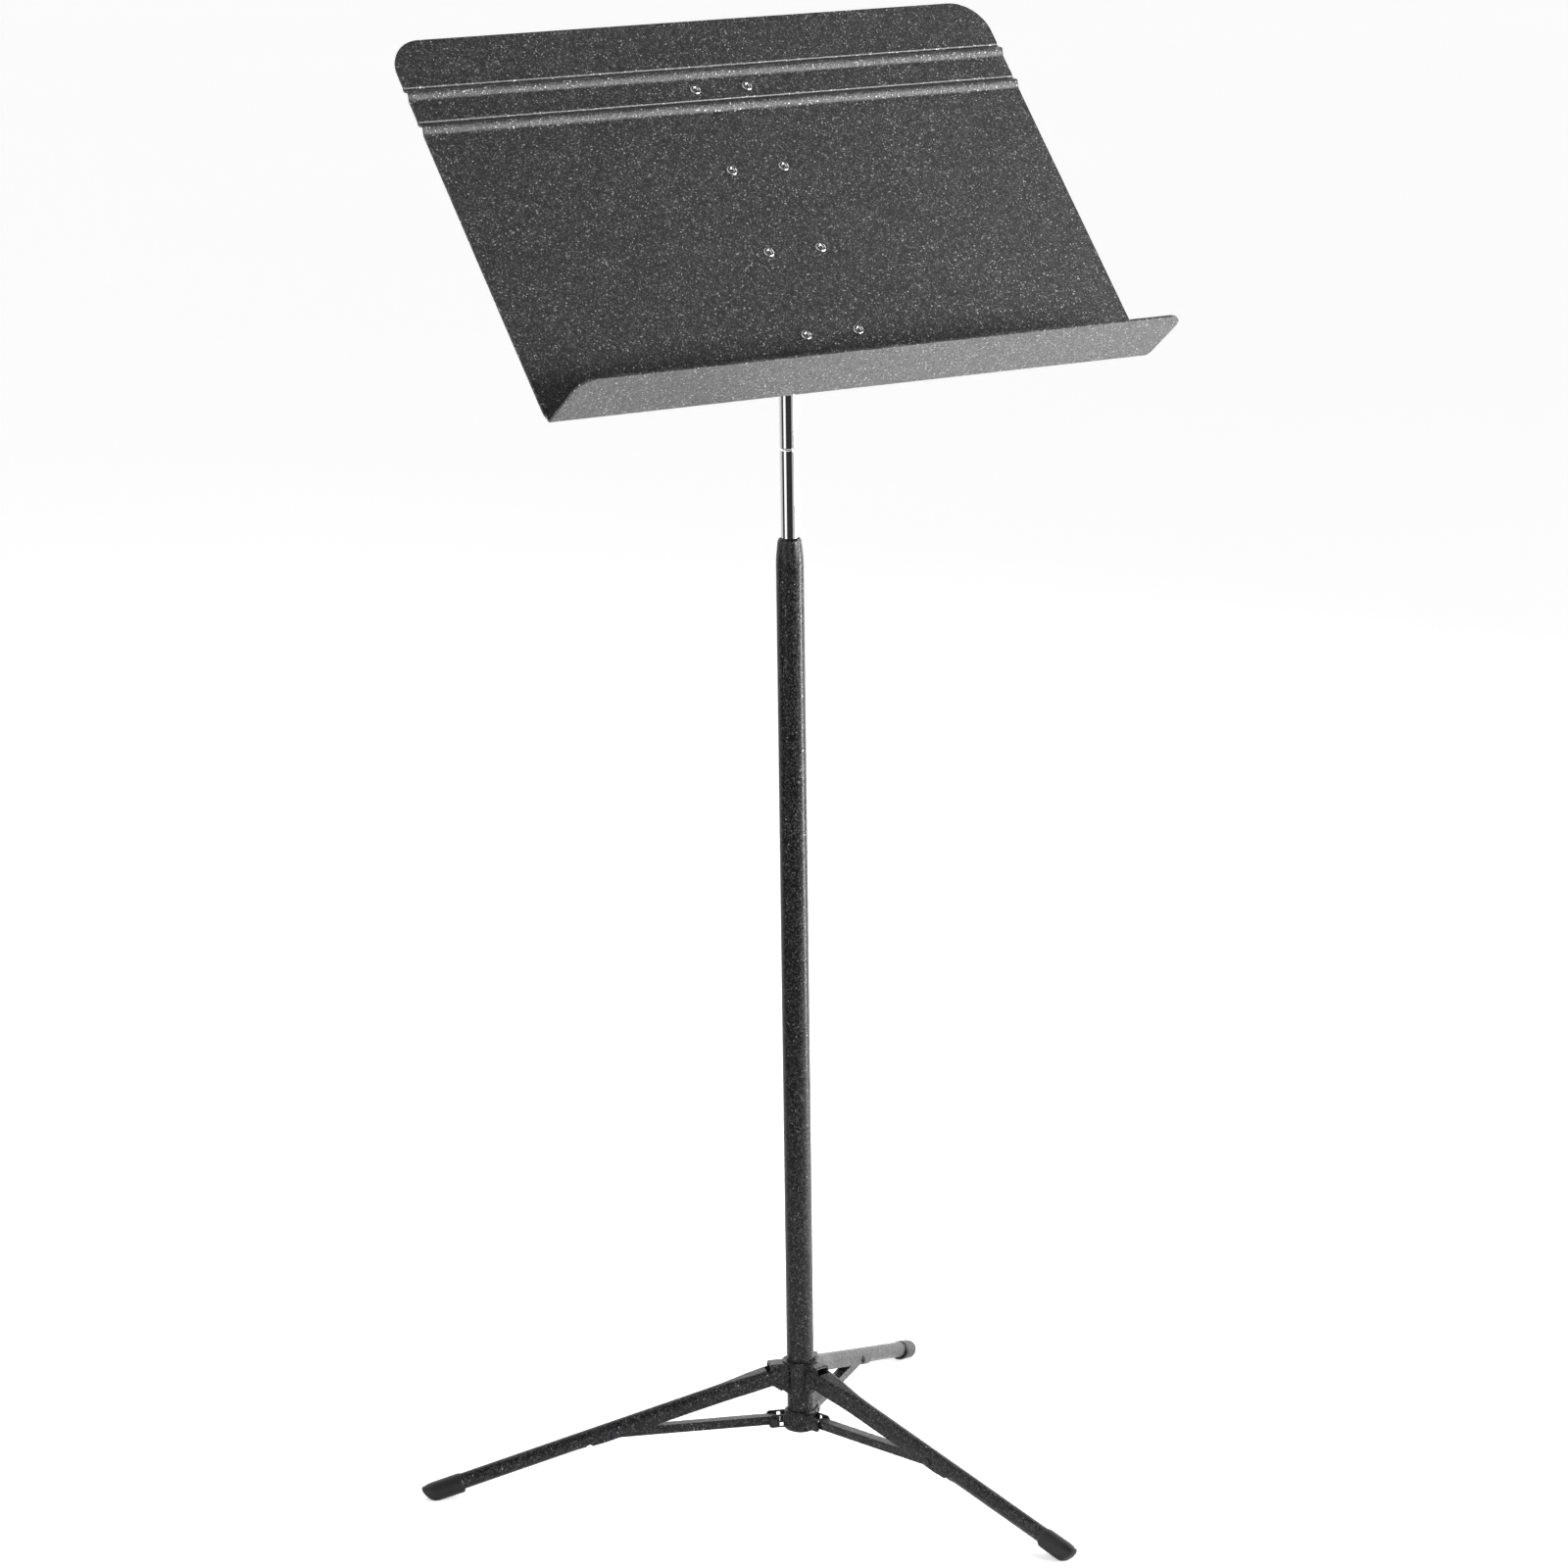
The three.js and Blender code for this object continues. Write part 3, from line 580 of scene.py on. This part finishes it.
def knuckle():
    """The cast block between the spine's ears, with a socket for the neck."""
    at = Matrix.Translation((0, 0, tilt_z))
    profile = [(0, -11.5), (9.4, -11.5), (10.4, -10.6), (10.4, 10.6), (9.4, 11.5), (0, 11.5)]
    body = lathe("knuckle", profile, 48, at @ Matrix.Rotation(math.pi / 2, 4, "Y"))
    stem = [(0, -33), (7.8, -33), (8.6, -32), (8.6, -13), (9.6, -8), (9.6, -4), (0, -4)]
    combine(body, [lathe("stem", stem, 48, at)], "UNION")
    bore = rod("bore", INNER_R + 0.15, -34, NECK_TOP + GAP - tilt_z, "Z", at)
    combine(body, [bore, rod("bore", TILT_HOLE, -20, 20, "X", at)])
    dress(polish(body, 0.5, 3), frame_coat, "neck", "frame_coat", "tilt_block")


# ------------------------------------------------------------------ pole


def pole():
    """The coated tube with its mouth drawn in, and the chromed tube and neck that meet at a joint line."""
    inside, top = TUBE_R - TUBE_WALL, TUBE_Z[1]
    mouth = [(TUBE_R - cut, top - below) for cut, below in MOUTH_SHAPE]
    inner = [(TUBE_R - 3.0, top - 0.5), (TUBE_R - 2.6, top - 3), (inside - 0.5, top - 9), (inside, top - 16)]
    tube = lathe("pole_tube", [(inside, TUBE_Z[0]), (TUBE_R, TUBE_Z[0])] + mouth + inner, 96)
    dress(polish(tube, 0), frame_coat, "pole", "frame_coat", "outer_tube")
    bore = INNER_R - INNER_WALL
    seam = JOINT_Z
    lower = [(bore, INNER_Z), (INNER_R, INNER_Z), (INNER_R, seam - 1.1), (INNER_R - 0.12, seam - 0.5),
             (INNER_R - 0.5, seam - 0.15), (bore, seam - 0.15)]
    dress(polish(lathe("chrome_tube", lower, 80), 0.1), chrome, "inner_pole", "chrome", "inner_tube")
    upper = [(bore, seam + 0.15), (INNER_R - 0.5, seam + 0.15), (INNER_R - 0.12, seam + 0.5),
             (INNER_R, seam + 1.1), (INNER_R, NECK_TOP), (bore, NECK_TOP)]
    dress(polish(lathe("chrome_neck", upper, 80), 0.1), chrome, "neck", "chrome", "neck_tube")


# ------------------------------------------------------------------ hubs


def upper_collar():
    """Pressed collar: a flared barrel and three channel arms, closed on top, that carry the legs."""
    low, top = UPPER_Z
    barrel = [(HUB_BORE, low), (11.6, low), (12, low + 0.8), (12, top - 4), (12.3, top - 2.4)]
    lip = [(12.9, top - 1.5), (UPPER_LIP, top - 0.8), (UPPER_LIP, top - 0.2), (UPPER_LIP - 0.5, top),
           (11.6, top - 0.4), (10.9, top - 1.2), (HUB_BORE, top - 2.6)]
    body = lathe("upper_collar", barrel + lip, 72)
    arms, cuts = [], [rod("bore", HUB_BORE, low - 5, top + 5, "Z", sides=72)]
    foot_x, foot_z = ARM_FOOT
    side = [(9, low + 1), (11.6, low + 1), (foot_x, foot_z)]
    side += arc(ARM_END - 1, foot_z + 1.6, 1, -90, 0, 4)
    side += arc(ARM_END - 1.5, ARM_TOP - 1.5, 1.5, 0, 90, 5) + [(9, ARM_TOP)]
    for limb in limbs:
        arms.append(slab("arm", side, -ARM_HALF, ARM_HALF, "Y", limb.turn))
        inner = ARM_HALF - ARM_WALL
        cuts.append(box("channel", (12.6, 30), (-inner, inner), (low - 2, ARM_TOP - ARM_WALL), limb.turn))
        hinge = limb.turn @ Matrix.Translation((limb.leg_r, 0, limb.leg_z))
        cuts.append(pin_hole(hinge))
    combine(body, arms, "UNION")
    combine(body, cuts)
    dress(polish(body, 0.45, 3), frame_coat, "collar", "frame_coat", "upper_hub")


def lower_collar():
    """Pressed collar at the pole's foot, with a pair of ears towards each strut."""
    low, top = LOWER_Z
    barrel = [(HUB_BORE, low), (11, low), (12, low + 0.7), (12.3, low + 1.8), (12.3, top - 1.2),
              (11.9, top - 0.3), (11.2, top), (HUB_BORE, top)]
    body = lathe("lower_collar", barrel, 72)
    ears, cuts = [], [rod("bore", HUB_BORE, low - 5, top + 5, "Z", sides=72)]
    foot, head = EAR_Z
    outline = [(8, foot)] + arc(EAR_END - 2.2, foot + 2.2, 2.2, -90, 0, 5)
    outline += arc(EAR_END - 3, head - 3, 3, 0, 90, 5) + [(8, head)]
    for limb in limbs:
        for y in (EAR_GAP, -EAR_GAP - EAR_WALL):
            ears.append(slab("ear", outline, y, y + EAR_WALL, "Y", limb.turn))
        window = box("window", WINDOW_R, (-9, 9), WINDOW_Z, limb.turn)
        cuts += [window, pin_hole(limb.strut)]
    combine(body, ears, "UNION")
    combine(body, cuts)
    dress(polish(body, 0.35, 2), frame_coat, "pole", "frame_coat", "lower_hub")


# ------------------------------------------------------------------ legs and struts


def arch(x, half, low, high, round_top, round_low):
    """Section across a leg: rounded top corners, and lower corners that close round further out."""
    most = min(half, (high - low) / 2) - 0.15
    round_top, round_low = min(round_top, most), min(round_low, most)
    points = arc(half - round_low, low + round_low, round_low, -90, 0, 6)
    points += arc(half - round_top, high - round_top, round_top, 0, 90, 6)
    points += arc(-half + round_top, high - round_top, round_top, 90, 180, 6)
    points += arc(-half + round_low, low + round_low, round_low, 180, 270, 6)
    return [(x, y, z) for y, z in points]


def leg_body(inset, extra):
    """Loft of the leg: wide and flat-sided at the hub, then slim, then a round tube to the foot."""
    low, high = LEG_LIFT - LEG_R, LEG_LIFT + LEG_R
    stations = [
        (-16, LEG_ROOT, -8, 3.2, 0.4), (8, LEG_ROOT, -8, 3.2, 0.4), (16, 7.5, -4, 3.6, 0.4),
        (26, 6.8, 0, 4.6, 0.4), (38, 6.2, 0, LEG_R, 0.4), (52, LEG_R, 0, LEG_R, 0.4),
        (CHANNEL_END - 16, LEG_R, 0, LEG_R, 0.4), (CHANNEL_END - 6, LEG_R, 0, LEG_R, 2),
        (CHANNEL_END, LEG_R, 0, LEG_R, 5), (CHANNEL_END + 5, LEG_R, 0, LEG_R, LEG_R),
        (LEG_END - 30, LEG_R, 0, LEG_R, LEG_R), (LEG_END, LEG_R, 0, LEG_R, LEG_R),
    ]
    loops = []
    for x, half, drop, top, bottom in stations:
        along = x + extra * ((x == LEG_END) - (x == -16))
        loops.append(arch(along, half - inset, low + drop + inset, high - inset, top - inset, bottom))
    return loft("leg", loops)


def leg_pattern(hole_x, hole_z):
    """One leg along +X from its hinge: a channel open underneath that closes to a tube."""
    low = LEG_LIFT - LEG_R
    inside, root = LEG_R - LEG_WALL, LEG_ROOT - LEG_WALL
    side = [(-3.6, low - 6.4), (1.2, low - 0.5), (2.6, low), (LEG_END + 9, low - 0.01), (LEG_END + 9, 9.5),
            (4, 9.5), (-0.8, 8.9), (-4.6, 7.6), (-7.2, 4.6), (-8.1, 1), (-7.6, -3)]
    body = combine(leg_body(0, 0), [slab("keep", side, -14, 14, "Y")], "INTERSECT")
    tools = [
        leg_body(LEG_WALL, 4),
        box("slot", (-25, CHANNEL_END - 4), (-inside + 0.1, inside - 0.1), (-30, LEG_LIFT - 0.5)),
        rod("notch", 2.4, -inside - 1.4, inside + 1.4, "Y", Matrix.Translation((CHANNEL_END - 4, 0, low))),
        box("mouth", (-25, 2.6), (-root + 0.07, root - 0.07), (-30, 30)),
        pin_hole(),
        pin_hole(Matrix.Translation((hole_x, 0, hole_z))),
    ]
    return polish(combine(body, tools), 0.3, 2)


def cap_pattern():
    """Soft cap that grips the leg's end, thicker underneath, with its tip cut back towards the sole."""
    rim = [(LEG_R + 0.35, CAP_START), (LEG_R + 0.8, CAP_START - 0.15), (CAP_R - 0.5, CAP_START + 0.4),
           (CAP_R - 0.1, CAP_START + 1.2), (CAP_R, CAP_START + 2.6)]
    tip = [(CAP_R, CAP_END - 11), (CAP_R - 0.25, CAP_END - 7.5), (CAP_R - 0.9, CAP_END - 4.6),
           (CAP_R - 2.1, CAP_END - 2.2), (CAP_R - 3.7, CAP_END - 0.8), (CAP_R - 5.4, CAP_END - 0.15),
           (0, CAP_END)]
    socket = [(0, LEG_END + GAP), (LEG_R + 0.35, LEG_END + GAP)]
    lay = Matrix.Translation((0, 0, LEG_LIFT)) @ Matrix.Rotation(math.pi / 2, 4, "Y")
    cap = lathe("cap", rim + tip + socket, 56, lay)
    for vertex in cap.data.vertices:
        x, y, z = vertex.co.x / MM, vertex.co.y / MM, vertex.co.z / MM - LEG_LIFT
        if math.hypot(y, z) > LEG_R + 0.5:
            z = min(z, z * CAP_FLAT) - CAP_SAG
        slant = max(0, x - CAP_END + CAP_SLANT) / CAP_SLANT
        vertex.co.x -= slant * (CAP_R - z) * CAP_CUT * MM
        vertex.co.z = (z + LEG_LIFT) * MM
    return cap


def strut_pattern(length):
    """Pressed channel along +X, open underneath, with rounded ends."""
    half, inner = STRUT_TALL / 2, STRUT_HALF - STRUT_WALL
    outline = arc(length, 0, half, -90, 90, 12) + arc(0, 0, half, 90, 270, 12)
    bar = slab("strut", outline, -STRUT_HALF, STRUT_HALF, "Y")
    tools = [box("hollow", (-8, length + 8), (-inner, inner), (-8, half - STRUT_WALL))]
    tools += [pin_hole(Matrix.Translation((x, 0, 0))) for x in (0, length)]
    return polish(combine(bar, tools), 0.45, 3)


def tripod():
    """Three legs, caps and struts, each copied from one pattern, and their pins."""
    hole_x, hole_z = limbs[0].hole
    leg, cap = leg_pattern(hole_x, hole_z), cap_pattern()
    strut = strut_pattern(limbs[0].strut_r - limbs[0].strut_in)
    for limb in limbs:
        number, body = limb.number, f"leg_{limb.number}_body"
        dress(placed(leg, f"leg_channel_{number}", limb.leg), frame_coat, body, "frame_coat", f"leg_{number}")
        boot = placed(cap, f"cap_{number}", limb.leg)
        for vertex in boot.data.vertices:
            vertex.co.z = max(vertex.co.z, 0)
        dress(polish(boot, 0), vinyl, body, "vinyl", f"foot_cap_{number}")
        bar = placed(strut, f"strut_bar_{number}", limb.strut)
        dress(bar, frame_coat, f"strut_{number}_body", "frame_coat", f"strut_{number}")
        pins(limb)
    for pattern in (leg, cap, strut):
        bpy.data.objects.remove(pattern)


def pins(limb):
    """Rivet pins with low domed heads."""
    x, z = limb.hole
    spots = {
        "leg_pin": (limb.leg, LEG_ROOT, "collar"),
        "strut_outer_pin": (limb.leg @ Matrix.Translation((x, 0, z)), LEG_R, f"leg_{limb.number}_body"),
        "strut_inner_pin": (limb.strut, EAR_GAP + EAR_WALL, f"strut_{limb.number}_body"),
    }
    for name, (place, reach, body) in spots.items():
        half = [(1.5, reach + 0.05), (3.0, reach + 0.05), (3.05, reach + 0.4), (2.6, reach + 1.05),
                (1.6, reach + 1.45), (0, reach + 1.55)]
        profile = [(r, -y) for r, y in reversed(half)] + half
        across = place @ Matrix.Rotation(math.pi / 2, 4, "X")
        pin = lathe(f"{name}_piece_{limb.number}", profile, 28, across)
        dress(polish(pin, 0), pin_steel, body, "rivet_coat", f"{name}_{limb.number}")


# ------------------------------------------------------------------ build


desk_sheet()
rivets()
spine()
tilt_hardware()
knuckle()
pole()
upper_collar()
lower_collar()
tripod()

hidden = {"mouth_bush": nylon, "tube_end_plug": nylon, "guide_bush": nylon, "inner_tube_plug": nylon,
          "bush_retainer": zinc, "neck_spigot": zinc}
for name, material in hidden.items():
    node = frame["nodes"][name]
    node.data.materials.clear()
    node.data.materials.append(material)


# ------------------------------------------------------------------ studio


PAINTED_DARK_SIDE = (-0.856, -0.517, 0)  # the side of the studio that has no lights, where the floor is painted dark for gloss: a painted shade seen in reflections


def stage_floor():
    """A wide white floor. On its unlit side it is painted dark for glossy rays only, a painted shade seen in
    reflections, and it glows a little for the camera.
    """
    size = 60000
    floor = box("studio_floor", (-size, size), (-size, size), (-20, 0))
    n = Nodes("pale_floor")
    tone = n.mix(n.noise(0.6, 2), (0.9, 0.9, 0.9, 1), (0.93, 0.93, 0.93, 1))
    away = n.add("ShaderNodeVectorMath", {0: n.coords}, operation="LENGTH").outputs["Value"]
    heading = n.add("ShaderNodeVectorMath", {0: n.coords}, operation="NORMALIZE").outputs[0]
    facing = n.add("ShaderNodeVectorMath", {0: heading, 1: PAINTED_DARK_SIDE}, operation="DOT_PRODUCT")
    # painted shade mask: the floor's side away from the lights, further than half a metre out
    painted_shade_mask = n.math("MULTIPLY", n.ramp(facing.outputs["Value"], 0.1, 0.4), n.ramp(away, 0.5, 1.0))
    path = n.add("ShaderNodeLightPath").outputs
    # painted shade: glossy rays see the floor painted near black inside the mask, while camera and diffuse
    # rays see it pale
    tone = n.mix(n.math("MULTIPLY", painted_shade_mask, path["Is Glossy Ray"]), tone, (0.02, 0.02, 0.02, 1))
    n.shader.inputs["Emission Color"].default_value = (1, 1, 1, 1)
    glow = n.math("MULTIPLY", path["Is Camera Ray"], 0.3)
    n.tree.links.new(glow, n.shader.inputs["Emission Strength"])
    floor.data.materials.append(n.set(color=tone, rough=0.9, specular=0.1))


def area(name, at, target, size, power, tall=None):
    """A panel of light aimed at a target, in metres and watts, that the camera doesn't see."""
    light = bpy.data.lights.new(name, "AREA")
    light.shape, light.size, light.size_y, light.energy = "RECTANGLE", size, tall or size, power
    obj = bpy.data.objects.new(name, light)
    obj.location = at
    obj.rotation_euler = (Vector(target) - Vector(at)).to_track_quat("-Z", "Y").to_euler()
    obj.visible_camera = False
    bpy.context.scene.collection.objects.link(obj)


def world():
    """A bright dome with a dark quarter overhead in front, which the desk's face mirrors."""
    sky = bpy.data.worlds.new("studio")
    bpy.context.scene.world = sky
    sky.use_nodes = True
    tree = sky.node_tree
    background = tree.nodes["Background"]
    coords = tree.nodes.new("ShaderNodeTexCoord")
    towards = tree.nodes.new("ShaderNodeVectorMath")
    towards.operation = "DOT_PRODUCT"
    towards.inputs[1].default_value = Vector((0.42, -0.5, 0.757)).normalized()
    tree.links.new(coords.outputs["Generated"], towards.inputs[0])
    ramp = tree.nodes.new("ShaderNodeMapRange")
    ramp.interpolation_type = "SMOOTHSTEP"
    ramp.inputs["From Min"].default_value = 0.25
    ramp.inputs["From Max"].default_value = 0.8
    ramp.inputs["To Min"].default_value = 1.0
    ramp.inputs["To Max"].default_value = 0.03
    tree.links.new(towards.outputs["Value"], ramp.inputs["Value"])
    mix = tree.nodes.new("ShaderNodeMix")
    mix.data_type = "RGBA"
    mix.inputs[6].default_value = (0, 0, 0, 1)
    mix.inputs[7].default_value = (1, 1, 1, 1)
    tree.links.new(ramp.outputs[0], mix.inputs[0])
    tree.links.new(mix.outputs[2], background.inputs["Color"])
    background.inputs["Strength"].default_value = 1.5


def camera():
    """Looks from the front left and a little above, through a long lens. Distances are in metres."""
    azimuth, elevation, roll = math.radians(-33.85), math.radians(12.38), math.radians(-0.77)
    distance, aside, height, focal = 4.1312, -0.0063, 0.5189, 131.36
    level = math.cos(elevation)
    back = Vector((math.sin(azimuth) * level, -math.cos(azimuth) * level, math.sin(elevation)))
    right = Vector((math.cos(azimuth), math.sin(azimuth), 0))
    up = back.cross(right)
    turned_right = right * math.cos(roll) + up * math.sin(roll)
    turned_up = up * math.cos(roll) - right * math.sin(roll)
    data = bpy.data.cameras.new("camera")
    data.lens, data.sensor_width = focal, 36
    obj = bpy.data.objects.new("camera", data)
    place = Matrix((turned_right, turned_up, back)).transposed().to_4x4()
    place.translation = Vector((0, 0, height)) + right * aside + back * distance
    obj.matrix_world = place
    bpy.context.scene.collection.objects.link(obj)
    bpy.context.scene.camera = obj


stage_floor()
world()
area("strip_right", (1.15, -0.58, 0.55), (0, 0, 0.5), 0.16, 26, 1.1)
area("box_front", (1.0, -1.55, 0.95), (0, -0.1, 0.98), 0.7, 44, 0.4)
area("key_right", (2.6, 0.6, 1.3), (0, 0, 0.6), 0.5, 30, 2.4)
area("fill_left", (-2.4, -0.3, 0.9), (0, 0, 0.85), 1.4, 8, 1.6)
camera()
bpy.context.scene.view_settings.view_transform = "Standard"
